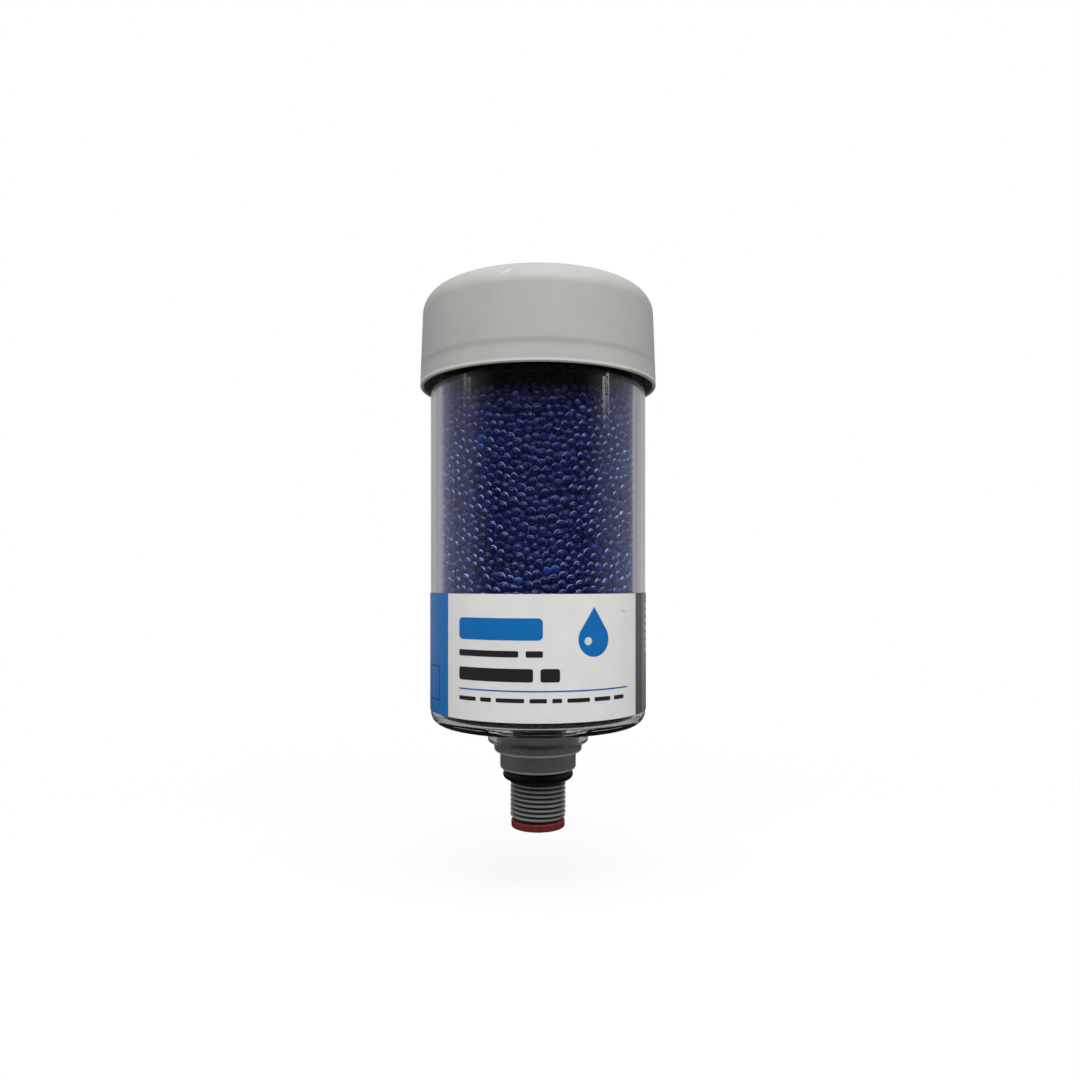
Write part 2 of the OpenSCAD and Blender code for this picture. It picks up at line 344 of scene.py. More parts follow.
def cap_plastic():
    """Satin moulded plastic with a fine spark-eroded grain, with a painted highlight along its lip and a
    painted highlight streak on its shoulder.
    """
    material, tree, shader = new_material("cap_plastic", (0.42, 0.42, 0.4), 0.45, Specular_IOR_Level=0.4)
    mottle = object_noise(tree, 60.0, 4.0)
    colour = ramp(tree, mottle, (0.405, 0.405, 0.385), (0.44, 0.44, 0.42))
    height = own_part(tree, "Object", "Z")
    # Painted highlight: paler towards the lip's lower edge
    lip_highlight = level(tree, height, Z_LIP + CAP_LIP_HIGHLIGHT, Z_LIP + CAP_LIP_HIGHLIGHT_FULL)
    colour = blend(tree, lip_highlight, colour, (0.64, 0.64, 0.625))
    # Painted highlight: a pale streak on the shoulder
    shoulder_highlight = level(tree, patch(tree, CAP_SHOULDER_HIGHLIGHT, CAP_SHOULDER_HIGHLIGHT_HALF, CAP_SHOULDER_HIGHLIGHT_TURN), 0.0, 0.5)
    colour = blend(tree, shoulder_highlight, colour, (0.6, 0.6, 0.585))
    tree.links.new(colour, shader.inputs["Base Color"])
    tree.links.new(spread(tree, object_noise(tree, 220.0, 3.0), 0.38, 0.54), shader.inputs["Roughness"])
    skirt = join(tree, "MAXIMUM", level(tree, height, Z_LIP + CAP_LINE, Z_LIP + CAP_LINE + CAP_LINE_FADE),
                 level(tree, height, Z_LIP + CAP_LINE, Z_LIP + CAP_LINE_LOW))
    grain = add_bump(tree, shader, object_noise(tree, 2600.0, 2.0), 0.12, 0.0002)
    add_bump(tree, shader, skirt, 1.0, CAP_LINE_DEPTH, grain)
    return material


def clear_plastic():
    """Clear drawn acrylic. Its outside has faint lines along the axis."""
    material, tree, shader = new_material("clear_plastic", (0.93, 0.94, 0.94), 0.0,
                                          Transmission_Weight=1.0, IOR=1.49)
    outside = level(tree, axis_distance(tree), (BODY_R + CUP_R) / 2, BODY_R)
    lines = multiply(tree, object_noise(tree, (700.0, 700.0, 2.0), 2.0, 0.6), outside)
    add_bump(tree, shader, lines, 0.11, 0.0003)
    return material


def bead_body(tree, colour):
    """Body colour that differs from bead to bead."""
    darker = tuple(0.7 * c for c in colour)
    paler = tuple(1.35 * c for c in colour)
    return ramp(tree, object_noise(tree, 190.0, 1.0), darker, paler)


def gel_beads(name, colour, glint):
    """Glassy bead of silica gel: a deep body colour and a thin pale rim that is a painted highlight,
    brightest at its top.
    """
    material, tree, shader = new_material(name, colour, 0.05, IOR=1.46, Specular_IOR_Level=0.3)
    body = bead_body(tree, colour)
    outward = outward_share(tree)
    # Painted highlight: a thin pale rim, stronger towards the top where the light comes from
    rim_highlight = multiply(tree, level(tree, outward, 0.55, 0.42), level(tree, outward, 0.15, 0.3))
    rim_highlight = multiply(tree, rim_highlight, level(tree, own_part(tree, "Normal", "Z"), -0.3, 0.7))
    rim_highlight = multiply(tree, rim_highlight, level(tree, object_noise(tree, 260.0, 1.0), 0.3, 0.65))
    tree.links.new(blend(tree, rim_highlight, body, glint), shader.inputs["Base Color"])
    return material


def gel_deep(colour):
    """Beads behind the wall layer: a paler copy of the bead colour, painted light that lifts them out of its
    shade.
    """
    material, tree, shader = new_material("gel_deep", colour, 0.3, IOR=1.46)
    body = bead_body(tree, colour)
    tree.links.new(body, shader.inputs["Base Color"])
    return material


def gel_core():
    """Unlit depth of the bead bed."""
    material, tree, shader = new_material("gel_core", (0.004, 0.005, 0.02), 0.6)
    depth = object_noise(tree, 300.0, 2.0)
    tree.links.new(ramp(tree, depth, (0.005, 0.008, 0.06), (0.011, 0.017, 0.14)), shader.inputs["Base Color"])
    return material


def black_foam():
    """Open-cell foam: cells with painted shade in their pits and paler edges."""
    material, tree, shader = new_material("black_foam", (0.004, 0.004, 0.0045), 0.95, Specular_IOR_Level=0.1)
    coordinates = tree.nodes.new("ShaderNodeTexCoord")
    cells = tree.nodes.new("ShaderNodeTexVoronoi")
    cells.inputs["Scale"].default_value = 900.0
    tree.links.new(coordinates.outputs["Object"], cells.inputs["Vector"])
    # Painted shade: darker in the cells' pits, paler on their edges
    tree.links.new(ramp(tree, cells.outputs["Distance"], (0.0015, 0.0015, 0.002), (0.008, 0.008, 0.009)),
                   shader.inputs["Base Color"])
    add_bump(tree, shader, cells.outputs["Distance"], 0.7, 0.0006)
    return material


def filter_felt():
    """Needled felt: soft off-white fibres."""
    material, tree, shader = new_material("filter_felt", (0.7, 0.69, 0.65), 0.95, Sheen_Weight=0.4)
    fibres = object_noise(tree, 1500.0, 6.0, 0.7)
    tree.links.new(ramp(tree, fibres, (0.58, 0.57, 0.53), (0.78, 0.77, 0.73)), shader.inputs["Base Color"])
    add_bump(tree, shader, fibres, 0.6, 0.0004)
    return material


def stem_plastic():
    """Moulded grey plastic: painted highlights on rounded edges and thread crests, painted shade in the
    thread's roots.
    """
    material, tree, shader = new_material("stem_plastic", (0.21, 0.21, 0.202), 0.35, Specular_IOR_Level=0.6)
    mottle = object_noise(tree, 130.0, 4.0)
    colour = ramp(tree, mottle, (0.19, 0.19, 0.182), (0.23, 0.23, 0.221))
    tilt = own_part(tree, "Normal", "Z")
    height = own_part(tree, "Object", "Z")
    # Painted highlight: paler on the rounded edges that face downwards
    edge = multiply(tree, level(tree, tilt, -0.02, -0.5), level(tree, tilt, -0.97, -0.85))
    edge = multiply(tree, edge, level(tree, height, 0.0, SHOULDER_Z))
    colour = blend(tree, edge, colour, (0.58, 0.58, 0.56))
    # Painted highlight on the thread's crests and painted shade in its roots
    on_thread = level(tree, height, 0.5 * MM, -0.5 * MM)
    half_way = THREAD_R - 0.5 * THREAD_DEPTH
    crest_highlight = level(tree, axis_distance(tree), half_way, THREAD_R)
    root_shade = level(tree, axis_distance(tree), half_way, THREAD_R - 0.9 * THREAD_DEPTH)
    colour = blend(tree, multiply(tree, on_thread, crest_highlight), colour, (0.34, 0.34, 0.328))
    colour = blend(tree, multiply(tree, on_thread, root_shade), colour, (0.03, 0.03, 0.029))
    tree.links.new(colour, shader.inputs["Base Color"])
    tree.links.new(spread(tree, object_noise(tree, 400.0, 3.0), 0.27, 0.42), shader.inputs["Roughness"])
    add_bump(tree, shader, object_noise(tree, 2200.0, 2.0), 0.12, 0.0002)
    return material


def grid_plastic():
    """Dark grey plastic of the hidden retainer."""
    material, tree, shader = new_material("grid_plastic", (0.1, 0.1, 0.1), 0.5)
    mottle = object_noise(tree, 150.0, 3.0)
    tree.links.new(ramp(tree, mottle, (0.085, 0.085, 0.085), (0.12, 0.12, 0.12)), shader.inputs["Base Color"])
    return material


def seal_rubber():
    """Black nitrile rubber with a soft bloom."""
    material, tree, shader = new_material("seal_rubber", (0.004, 0.004, 0.005), 0.45, Specular_IOR_Level=0.25)
    bloom = object_noise(tree, 500.0, 4.0)
    colour = ramp(tree, bloom, (0.0025, 0.0025, 0.003), (0.007, 0.007, 0.008))
    tree.links.new(colour, shader.inputs["Base Color"])
    tree.links.new(spread(tree, bloom, 0.35, 0.55), shader.inputs["Roughness"])
    return material


def red_plastic():
    """Soft red polyethylene of the shipping plug."""
    material, tree, shader = new_material("red_plastic", (0.22, 0.018, 0.018), 0.45, Subsurface_Weight=0.15)
    shader.inputs["Subsurface Radius"].default_value = (0.004, 0.001, 0.001)
    mottle = object_noise(tree, 240.0, 3.0)
    colour = ramp(tree, mottle, (0.18, 0.015, 0.015), (0.25, 0.022, 0.022))
    tree.links.new(colour, shader.inputs["Base Color"])
    tree.links.new(spread(tree, object_noise(tree, 600.0, 3.0), 0.36, 0.55), shader.inputs["Roughness"])
    return material


def label_film(name, colour):
    """Printed film with a slight gloss, a trace of unevenness and a few rubbed marks."""
    material, tree, shader = new_material(name, colour, 0.35, Specular_IOR_Level=0.35)
    mottle = object_noise(tree, 90.0, 4.0)
    ink = ramp(tree, mottle, tuple(0.97 * c for c in colour), tuple(min(1.0, 1.02 * c) for c in colour))
    marks = level(tree, object_noise(tree, (700.0, 700.0, 1500.0), 1.0), 0.58, 0.66)
    marks = multiply(tree, marks, patch(tree, LABEL_RUBBED, LABEL_RUBBED_HALF))
    tree.links.new(blend(tree, marks, ink, tuple(0.55 * c for c in colour)), shader.inputs["Base Color"])
    tree.links.new(spread(tree, object_noise(tree, 300.0, 3.0), 0.3, 0.42), shader.inputs["Roughness"])
    add_bump(tree, shader, object_noise(tree, 160.0, 2.0), 0.05, 0.0002)
    return material


def dress_node(node, material):
    """Gives a CAD node a finished material."""
    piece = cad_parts[node]
    piece.data.materials.clear()
    piece.data.materials.append(material)
    piece.data.shade_smooth()
    piece.data.set_sharp_from_angle(angle=math.radians(SHARP_DEG))


# Clear cup

def build_housing():
    """Cup with its floor and collar. It casts no shadow, so that light reaches the beads."""
    profile = [(OUTLET_R, Z_BASE), (SOCKET_R, Z_BASE), (SOCKET_R, Z_COLLAR)]
    profile += arc(COLLAR_R - COLLAR_ROUND, Z_COLLAR + COLLAR_ROUND, COLLAR_ROUND, -90, 0)
    profile += [(COLLAR_R, Z_BASE)]
    profile += arc(BODY_R - BASE_ROUND, Z_BASE + BASE_ROUND, BASE_ROUND, -90, 0, 16)
    profile += [(BODY_R, Z_BASE + BASE_ROUND + RING_GAP), (BODY_R, Z_RIM), (CUP_R, Z_RIM)]
    profile += [(CUP_R, Z_FLOOR + INNER_ROUND + RING_GAP)]
    profile += arc(CUP_R - INNER_ROUND, Z_FLOOR + INNER_ROUND, INNER_ROUND, 0, -90, 8)
    profile += [(OUTLET_R, Z_FLOOR)]
    piece = add_mesh("housing_clear", *lathe(profile, 256), clear_plastic(), "clear_plastic", ["housing"])
    piece.visible_shadow = False


# Beads

# Radius with its spread and limits, depth of the modelled bed, and how full its layers are
BEAD_R = 1.95 * MM
BEAD_R_SPREAD = 0.22 * MM
BEAD_R_LOW = 1.5 * MM
BEAD_R_HIGH = 2.5 * MM
BED_DEPTH = 7.0 * MM
WALL_FILL = 0.8
BED_FILL = 0.62
# Rounds that push beads apart, how often and how far round a bead its neighbours are sought, and the push
BEAD_ROUNDS = 90
BEAD_SEARCH_EVERY = 6
BEAD_SEARCH_R = 2 * BEAD_R_HIGH + 1.0 * MM
BEAD_PUSH = 0.4
# Range of a bead's stretch along each axis, and the share of vivid ones
BEAD_STRETCH = (0.94, 1.0)
VIVID_SHARE = 0.012
# Beads that are seen above the label start this far below its edge, and are split by height into bands
BEAD_HIDDEN = 4.0 * MM
BEAD_BANDS = 5


def near_pairs(points, reach):
    """Index pairs of points that lie closer than reach."""
    order = np.argsort(points[:, 2])
    heights = points[order, 2]
    counts = np.searchsorted(heights, heights + reach) - np.arange(len(points)) - 1
    first = np.repeat(np.arange(len(points)), counts)
    second = first + 1 + np.arange(counts.sum()) - np.repeat(np.cumsum(counts) - counts, counts)
    a, b = order[first], order[second]
    near = ((points[a] - points[b]) ** 2).sum(1) < reach ** 2
    return a[near], b[near]


def pack_beads(seed):
    """Dense random packing of balls: a layer that touches the wall, and loose ones behind it.

    Returns centres, radii and the number of beads in the wall layer, which come first.
    """
    rng = np.random.default_rng(seed)
    height = Z_BED_HIGH - Z_BED_LOW
    wall_count = int(WALL_FILL * 2 * math.pi * (PAD_R - BEAD_R) * height / (math.pi * BEAD_R ** 2))
    inner_r = PAD_R - BED_DEPTH
    behind_r = PAD_R - 2 * BEAD_R
    volume = math.pi * (behind_r ** 2 - (inner_r - BEAD_R) ** 2) * height
    count = wall_count + int(BED_FILL * volume / (4 / 3 * math.pi * BEAD_R ** 3))
    radii = np.clip(rng.normal(BEAD_R, BEAD_R_SPREAD, count), BEAD_R_LOW, BEAD_R_HIGH)
    at_wall = np.arange(count) < wall_count
    reach = PAD_R - radii
    distance = np.where(at_wall, reach, np.sqrt(rng.uniform(inner_r ** 2, behind_r ** 2, count)))
    angles = rng.uniform(0, 2 * math.pi, count)
    heights = rng.uniform(Z_BED_LOW, Z_BED_HIGH, count)
    points = np.c_[distance * np.cos(angles), distance * np.sin(angles), heights]
    for i in range(BEAD_ROUNDS):
        if i % BEAD_SEARCH_EVERY == 0:
            a, b = near_pairs(points, BEAD_SEARCH_R)
        apart = points[a] - points[b]
        gap = np.linalg.norm(apart, axis=1) + 1e-9
        push = apart * (np.clip(radii[a] + radii[b] - gap, 0, None) / gap * BEAD_PUSH)[:, None]
        for axis in range(3):
            points[:, axis] += np.bincount(a, push[:, axis], count) - np.bincount(b, push[:, axis], count)
        distance = np.hypot(points[:, 0], points[:, 1])
        inside = np.clip(distance, np.where(at_wall, reach, inner_r), reach) / distance
        points[:, :2] *= inside[:, None]
        points[:, 2] = np.clip(points[:, 2], Z_BED_LOW + radii, Z_BED_HIGH - radii)
    return points, radii, wall_count


def ball(subdivisions):
    """Vertices and triangles of a unit geodesic ball."""
    shape = bmesh.new()
    bmesh.ops.create_icosphere(shape, subdivisions=subdivisions, radius=1.0)
    verts = np.array([v.co for v in shape.verts])
    faces = np.array([[v.index for v in f.verts] for f in shape.faces])
    shape.free()
    return verts, faces


def add_beads(name, centres, radii, subdivisions, material):
    """One piece that holds many slightly uneven beads. Being glassy, they cast no shadow."""
    unit, triangles = ball(subdivisions)
    rng = np.random.default_rng(len(centres))
    stretch = radii[:, None] * rng.uniform(*BEAD_STRETCH, (len(radii), 3))
    verts = centres[:, None, :] + unit[None, :, :] * stretch[:, None, :]
    faces = triangles[None, :, :] + (np.arange(len(radii)) * len(unit))[:, None, None]
    piece = add_mesh(name, verts.reshape(-1, 3), faces.reshape(-1, 3), material, "gel_beads",
                     ["silica_gel"], NEVER_SHARP_DEG)
    piece.visible_shadow = False


def build_gel():
    """Bed of beads: fine ones at the wall, coarse ones behind them or the label, and a dark core."""
    blue = gel_beads("gel_beads", (0.0014, 0.0034, 0.046), (0.31, 0.39, 0.76))
    bright = gel_beads("gel_beads_bright", (0.005, 0.012, 0.12), (0.05, 0.5, 1.0))
    # Paler than the wall beads' body: painted light in the gaps between them
    deep = gel_deep((0.005, 0.008, 0.075))
    centres, radii, wall_count = pack_beads(11)
    at_wall = np.arange(len(radii)) < wall_count
    in_view = centres[:, 2] > Z_LABEL_HIGH - BEAD_HIDDEN
    vivid = at_wall & in_view & (np.random.default_rng(5).random(len(radii)) < VIVID_SHARE)
    fine = at_wall & in_view & ~vivid
    coarse = ~(fine | vivid)
    edges = np.quantile(centres[fine, 2], np.linspace(0, 1, BEAD_BANDS + 1))
    band = np.clip(np.searchsorted(edges, centres[:, 2], side="right") - 1, 0, BEAD_BANDS - 1)
    for i in range(BEAD_BANDS):
        pick = fine & (band == i)
        add_beads(f"gel_beads_band_{i + 1}", centres[pick], radii[pick], 3, blue)
    add_beads("gel_beads_vivid", centres[vivid], radii[vivid], 3, bright)
    for name, pick in (("gel_beads_deep", coarse & in_view), ("gel_beads_low", coarse & ~in_view)):
        add_beads(name, centres[pick], radii[pick], 2, deep)
    core_r = PAD_R - BED_DEPTH - 0.5 * BEAD_R
    axis_r = 0.1 * MM
    core = [(axis_r, Z_BED_LOW), (core_r, Z_BED_LOW), (core_r, Z_BED_HIGH), (axis_r, Z_BED_HIGH)]
    add_mesh("gel_core", *lathe(core, 96), gel_core(), "gel_beads", ["silica_gel"])


# Pads and filters

PAD_GAP = 0.12 * MM


def build_pad(node, name, material, slot, seed, roughness_mm):
    """Cut disc of foam or felt with a slightly uneven edge, a hair thinner than its room in the cup."""
    low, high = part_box(node)
    low.z += PAD_GAP
    high.z -= PAD_GAP
    rng = np.random.default_rng(seed)
    edge = 0.8 * MM
    axis_r = 0.5 * MM
    side_rows = 8
    profile = [(axis_r, low.z), (PAD_R * 0.5, low.z)]
    profile += arc(PAD_R - edge, low.z + edge, edge, -90, 0, 4)
    row_h = (high.z - low.z - 2 * edge) / side_rows
    profile += [(PAD_R, low.z + edge + row_h * i) for i in range(1, side_rows)]
    profile += arc(PAD_R - edge, high.z - edge, edge, 0, 90, 4)
    profile += [(PAD_R * 0.5, high.z), (axis_r, high.z)]
    verts, faces = lathe(profile, 256)
    radial = np.hypot(verts[:, 0], verts[:, 1])
    pull = 1 - rng.uniform(0, roughness_mm * MM, len(verts)) / PAD_R
    verts[:, :2] *= np.where(radial > PAD_R - 2 * edge, pull, 1.0)[:, None]
    add_mesh(name, verts, faces, material, slot, [node])


# Stem with its thread

def thread_radius(z, angle):
    """Radius of the thread's surface: sloping flanks, narrow flat crests and rounded roots."""
    phase = ((z / THREAD_PITCH) + angle / (2 * math.pi)) % 1.0
    height = np.clip((np.abs(phase - 0.5) * 2 - THREAD_ROOT) / THREAD_FLANK, 0, 1)
    height = height * (1 - THREAD_ROOT_RISE) + THREAD_ROOT_RISE
    height = 0.5 - 0.5 * np.cos(math.pi * height)
    return THREAD_R - THREAD_DEPTH * (1 - height)


def build_stem(material):
    """Stepped stem with a bore: a thread below, and a turned section from the groove up to the spigot."""
    segments = 192
    thread_rows = 124
    step_z = SHOULDER_Z + SHOULDER_H
    profile = [(GROOVE_R, SHOULDER_Z)]
    profile += arc(SHOULDER_R - STEP_ROUND, SHOULDER_Z + STEP_ROUND, STEP_ROUND, -90, 0)
    profile += [(SHOULDER_R, SHOULDER_Z + STEP_ROUND + RING_GAP), (SHOULDER_R, step_z)]
    profile += arc(STEP_R - STEP_ROUND, step_z + STEP_ROUND, STEP_ROUND, -90, 0)
    profile += [(STEP_R, step_z + STEP_ROUND + RING_GAP), (STEP_R, Z_COLLAR), (SPIGOT_R, Z_COLLAR)]
    profile += [(SPIGOT_R, Z_SPIGOT_TOP), (MOUTH_R, Z_SPIGOT_TOP)]
    profile += [(MOUTH_R, SHOULDER_Z + MOUTH_WEB), (BORE_R, SHOULDER_Z + MOUTH_WEB), (BORE_R, Z_TIP)]
    plain, _ = lathe(profile, segments)
    angles = np.linspace(0, 2 * math.pi, segments, endpoint=False)[None, :]
    z = np.linspace(Z_TIP, 0.0, thread_rows)[:, None]
    lead_in = THREAD_R - TIP_CHAMFER + (z - Z_TIP)
    runout = GROOVE_R + RUNOUT_SLOPE * (RUNOUT_END - z)
    radius = np.minimum(np.minimum(thread_radius(z, angles), lead_in), runout)
    thread = np.stack([radius * np.cos(angles), radius * np.sin(angles), z + 0 * angles], axis=-1)
    verts = np.concatenate([thread.reshape(-1, 3), plain])
    faces = ring_faces(thread_rows + len(profile), segments)
    add_mesh("stem_threaded", verts, faces, material, "stem_plastic", ["stem"], THREAD_SHARP_DEG)


# Label

INK_GAP = 0.01 * MM
INK_LOW_R = LABEL_R + LABEL_T + INK_GAP
LABEL_BLUE = (0.004, 0.165, 0.5)
# Layout of the print, in mm along the label from the front and up from its lower edge
PRINT_LEFT = -36.0
HEAD_ROW = (33.5, 42.5)
SUB_ROW = (26.6, 29.2)
TEXT_ROW = (16.6, 22.0)
RULE_ROW = (12.6, 13.2)
FOOT_ROW = (8.2, 9.9)
FOOT_WIDTHS = (9, 5, 12, 7, 4, 10, 8, 6)
FOOT_GAP = 2.2
PANEL_ROW = (0.2, 52.1)
# Length of one step along a bar
INK_STEP = 0.8


def wrap(u, low, high, inner_r, thickness):
    """Closed curved sheet: u is the angle from the front, low and high are heights at each u."""
    angles = np.asarray(u) - math.pi / 2
    outer_r = inner_r + thickness
    corners = [(inner_r, low), (outer_r, low), (outer_r, high), (inner_r, high)]
    rings = [np.c_[r * np.cos(angles), r * np.sin(angles), z + 0 * angles] for r, z in corners]
    verts = np.stack(rings, axis=1).reshape(-1, 3)
    i = 4 * np.arange(len(angles) - 1)[:, None]
    k = np.arange(4)[None, :]
    m = (k + 1) % 4
    sides = np.stack([i + k, i + 4 + k, i + 4 + m, i + m], axis=-1).reshape(-1, 4)
    last = 4 * (len(angles) - 1)
    return verts, np.concatenate([sides, [[0, 1, 2, 3]], [[last + 3, last + 2, last + 1, last]]])


def ink_bar(left, right, low, high, corner=0.0):
    """Bar with round corners, in mm along the label from the front and up from its lower edge."""
    steps = max(12, int((right - left) / INK_STEP))
    u = np.linspace(left, right, steps + 1)
    if corner:
        bend = corner * (1 - np.cos(np.linspace(0.12, math.pi / 2, 8)))
        u = np.r_[left + bend, np.linspace(left + corner, right - corner, steps)[1:-1], (right - bend)[::-1]]
    depth = np.clip(corner - np.minimum(u - left, right - u), 0, None)
    inset = corner - np.sqrt(np.clip(corner ** 2 - depth ** 2, 0, None))
    return u, low + inset, high - inset


def ink_drop(middle, base, radius, height):
    """Drop with a round base and a pointed top."""
    u = radius * np.sin(np.linspace(-1.5, 1.5, 41))
    centre = base + radius
    tip = height - radius
    lean = math.asin(radius / tip)
    ball_half = np.sqrt(np.clip(radius ** 2 - u ** 2, 0, None))
    on_flank = np.abs(u) < radius * math.cos(lean)
    top = np.where(on_flank, tip - np.abs(u) / math.tan(lean), ball_half)
    return middle + u, centre - ball_half, centre + top


def ink_disc(middle, height, radius):
    """Round dot."""
    u = radius * np.sin(np.linspace(-1.5, 1.5, 25))
    half = np.sqrt(radius ** 2 - u ** 2)
    return middle + u, height - half, height + half


def ink_frame(left, right, low, high, line):
    """Outlined rectangle as four bars."""
    return [ink_bar(left, right, low, low + line), ink_bar(left, right, high - line, high),
            ink_bar(left, left + line, low + line, high - line),
            ink_bar(right - line, right, low + line, high - line)]


def add_ink(name, shapes, material, layer=0):
    """One piece of print from several flat shapes."""
    verts = []
    faces = []
    start = 0
    inner_r = INK_LOW_R + layer * (INK_T + INK_GAP)
    for u, low, high in shapes:
        z_low = Z_LABEL_LOW + low * MM
        z_high = Z_LABEL_LOW + high * MM
        shape_verts, shape_faces = wrap(u * MM / inner_r, z_low, z_high, inner_r, INK_T)
        verts.append(shape_verts)
        faces.append(shape_faces + start)
        start += len(shape_verts)
    add_mesh(name, np.concatenate(verts), np.concatenate(faces), material, "label_film", ["label"])


def build_label():
    """Three coloured fields with plain bars, a drop with a dot, and a write-in box printed on them."""
    fields = [("label_blue", LABEL_LEFT, WHITE_LEFT, LABEL_BLUE),
              ("label_white", WHITE_LEFT, WHITE_RIGHT, (0.86, 0.86, 0.84)),
              ("label_grey", WHITE_RIGHT, LABEL_RIGHT, (0.085, 0.085, 0.082))]
    for name, left, right, colour in fields:
        u = np.radians(np.linspace(left, right, int(abs(right - left) / 1.5) + 1))
        sheet = wrap(u, Z_LABEL_LOW, Z_LABEL_HIGH, LABEL_R, LABEL_T)
        add_mesh(name, *sheet, label_film(name, colour), "label_film", ["label"])
    blue = [ink_bar(PRINT_LEFT, 2, *HEAD_ROW, 2.0), ink_drop(24, 26.5, 7.2, 20.5)]
    blue.append(ink_bar(PRINT_LEFT, 43, *RULE_ROW))
    dark = [ink_bar(PRINT_LEFT, -8, *SUB_ROW, 0.6), ink_bar(-5, 2, *SUB_ROW, 0.6)]
    dark += [ink_bar(PRINT_LEFT, -2, *TEXT_ROW, 1.0), ink_bar(1, 9, *TEXT_ROW, 1.0)]
    left = PRINT_LEFT
    for width in FOOT_WIDTHS:
        dark.append(ink_bar(left, left + width, *FOOT_ROW, 0.4))
        left += width + FOOT_GAP
    # Write-in box on the blue field, and a paler panel with a column of small bars on the grey field
    dark += ink_frame(-84, -51, 6.0, 21.0, 0.5)
    dark.append(ink_bar(56.8, 57.3, *PANEL_ROW))
    pale = [ink_bar(57.4, 118, *PANEL_ROW)]
    white = [ink_disc(21.2, 33.0, 1.7)]
    white += [ink_bar(64.0, 67.0, low, low + 2.0) for low in np.arange(26.0, 46.0, 3.3)]
    add_ink("label_print_blue", blue, label_film("print_blue", LABEL_BLUE))
    add_ink("label_print_dark", dark, label_film("print_dark", (0.02, 0.02, 0.022)))
    add_ink("label_print_pale", pale, label_film("print_pale", (0.19, 0.19, 0.185)))
    add_ink("label_print_white", white, label_film("print_white", (0.75, 0.75, 0.74)), 1)


build_housing()
build_gel()
build_pad("top_foam", "foam_pad_top", black_foam(), "black_foam", 31, 0.5)
build_pad("lower_foam", "foam_pad_low", black_foam(), "black_foam", 32, 0.04)
build_pad("top_filter", "felt_top", filter_felt(), "filter_felt", 33, 0.2)
build_pad("lower_filter", "felt_low", filter_felt(), "filter_felt", 34, 0.2)
build_stem(stem_plastic())
build_label()
dress_node("cap", cap_plastic())
dress_node("top_retainer", grid_plastic())
dress_node("o_ring", seal_rubber())
dress_node("shipping_plug", red_plastic())


# Stage: floor, light and camera

FLOOR_SIZE = 6.0
# The floor lies below the shipping plug even when it is pulled out
FLOOR_DROP = 30.2 * MM
# How bright it is to the camera, to matt surfaces, in glass and gloss near and far behind, and through glass.
# The dark near part in glass and gloss is a painted shadow.
FLOOR_SEEN = 0.9
FLOOR_BOUNCE = 0.25
FLOOR_IN_GLASS_NEAR = 0.04
FLOOR_IN_GLASS_FAR = 0.75
FLOOR_THROUGH_GLASS = 0.34
# Where it turns from near to far behind, by distance from the axis and along Y, and where glass shows it
FLOOR_FAR = (0.5, 1.6)
FLOOR_BEHIND = (-0.3, 0.6)
FLOOR_THROUGH = (1.4, 0.4)
# Radius of the shaded part that the camera sees, and its share of plain white in the middle
FLOOR_SHADE_R = 0.5
FLOOR_SHADE_WHITE = 0.82

# Brightness of the studio round the object, from the front (-Y) over the sides to the back (+Y)
STUDIO_BELT = [(-1.0, 0.02), (-0.64, 0.025), (-0.41, 0.16), (-0.1, 0.38), (0.3, 0.4), (0.74, 0.27),
               (0.9, 0.44), (0.97, 0.56), (1.0, 0.64)]
# How much brighter it lights matt surfaces than it looks in glass and gloss
STUDIO_FILL = 1.4
# Range of fine upright streaks in it, and the scale of their noise
STUDIO_LINES = (0.7, 1.3)
STUDIO_LINES_SCALE = (10.0, 10.0, 0.3)
# Tint of its sides and front in reflections, which fades out to the back, upwards and on the strips
STUDIO_SIDES = (0.9, 1.0, 2.2)
STUDIO_SIDES_BACK = (0.66, 0.5)
STUDIO_SIDES_UP = (0.24, 0.2)
STUDIO_SIDES_STRIPS = (0.5, 0.0)
# Upright strips of light: turn from the front, half width, rise from and to, brightness
STUDIO_STRIPS = [(-82.0, 0.06, 0.19, 0.27, 3.0), (78.0, 0.03, 0.16, 0.25, 6.0)]
# Share of a strip's width that is fully bright
STRIP_CORE = 0.3

# Soft light high in front of the object: place, target, width and height, power
SOFTBOX_PLACE = (0.04, -0.66, 0.96)
SOFTBOX_TARGET = (0.0, 0.0, 0.1)
SOFTBOX_SIZE = (1.5, 0.5)
SOFTBOX_POWER = 15.0


def camera_share(tree):
    """Value that is 1 for rays from the camera and 0 for others."""
    return tree.nodes.new("ShaderNodeLightPath").outputs["Is Camera Ray"]


def glass_share(tree):
    """Value that is 1 for rays that a glossy or clear surface sends on, and 0 for others."""
    path = tree.nodes.new("ShaderNodeLightPath")
    return join(tree, "MAXIMUM", path.outputs["Is Glossy Ray"], path.outputs["Is Transmission Ray"])


